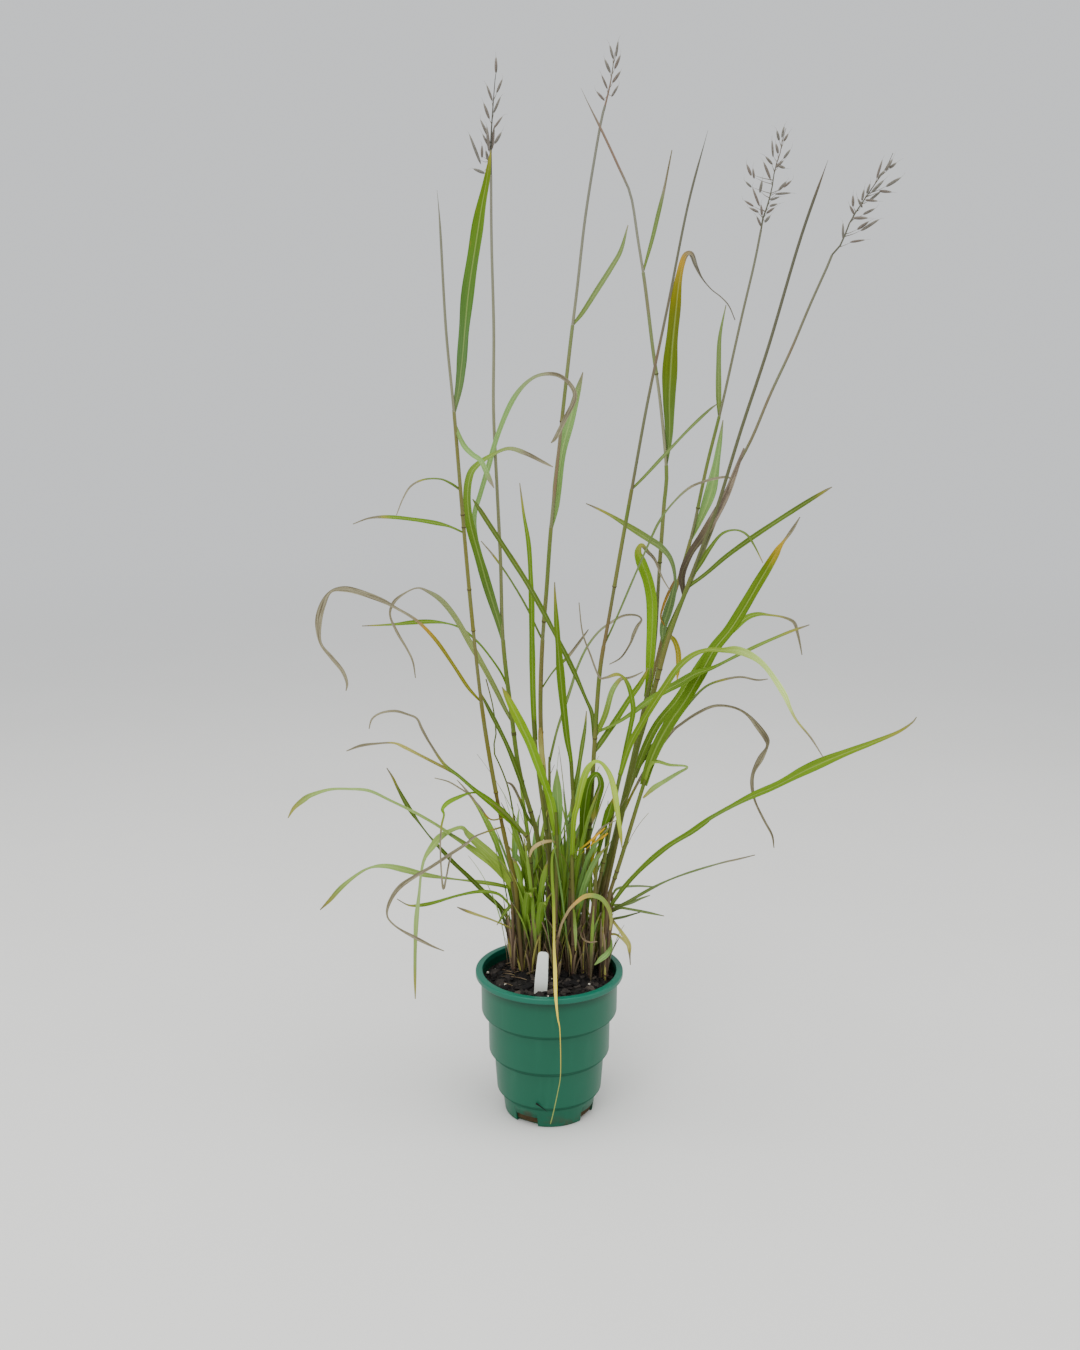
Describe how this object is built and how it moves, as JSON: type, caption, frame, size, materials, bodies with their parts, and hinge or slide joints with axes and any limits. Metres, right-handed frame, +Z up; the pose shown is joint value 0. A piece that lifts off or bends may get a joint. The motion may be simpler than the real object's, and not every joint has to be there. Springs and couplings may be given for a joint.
{
  "type": "potted indian grass",
  "caption": "Tall clump of ornamental prairie grass with arching blades and feathery seed heads, growing in bark soil in a stepped nursery pot with a blank label.",
  "frame": {"origin": "middle of the pot's flat foot, on the surface that the pot stands on", "axes": "+Z up along the pot's axis, -Y towards the side that the picture shows, +X to its right"},
  "size_m": [0.6477, 0.337, 1.1608],
  "materials": {
    "pot_green": "satin",
    "soil_bark": "matte",
    "label_white": "satin",
    "grass_green": "matte",
    "grass_lime": "matte",
    "grass_blue": "matte",
    "grass_gold": "matte",
    "grass_pale": "matte",
    "grass_dry": "matte",
    "grass_head": "matte"
  },
  "bodies": {
    "root": {"pot": "pot_green", "label": "label_white", "culm_far_left_dry_leaf_1": "grass_dry", "culm_far_left_dry_leaf_2": "grass_dry", "culm_far_left": "grass_lime", "culm_left": "grass_lime", "culm_mid_left": "grass_green", "culm_mid_right": "grass_blue", "culm_centre": "grass_green", "culm_right_back": "grass_green", "spear_right": "grass_green", "culm_right_dry_leaf_1": "grass_dry", "culm_right": "grass_gold", "shoot_tall": "grass_lime", "shoot_centre": "grass_lime", "shoot_bright": "grass_lime", "shoot_far_right": "grass_lime", "shoot_yellow_arch_dry_leaf_1": "grass_dry", "shoot_yellow_arch": "grass_gold", "shoot_white_arch": "grass_pale", "shoot_low_right": "grass_lime", "tuft_right": "grass_pale", "dry_right": "grass_dry", "dry_arch_front": "grass_dry", "shoot_low_left": "grass_lime", "shoot_bent": "grass_pale", "shoot_long_left": "grass_green", "shoot_left_back": "grass_blue", "shoot_left_front": "grass_lime", "dry_thin_left": "grass_dry", "shoot_folded": "grass_pale", "shoot_dark_fold": "grass_green", "shoot_short_right": "grass_lime", "arch_centre": "grass_green", "young_back_left": "grass_green", "young_back_a": "grass_green", "young_back_b": "grass_green", "young_back_c": "grass_green", "young_back_right": "grass_green", "young_mid_a": "grass_green", "young_mid_b": "grass_green", "young_mid_c": "grass_green", "young_left": "grass_green", "young_front": "grass_green", "head_left": "grass_head", "head_mid": "grass_head", "head_right": "grass_head", "head_far_right": "grass_head", "soil": "soil_bark"}
  },
  "joints": []
}
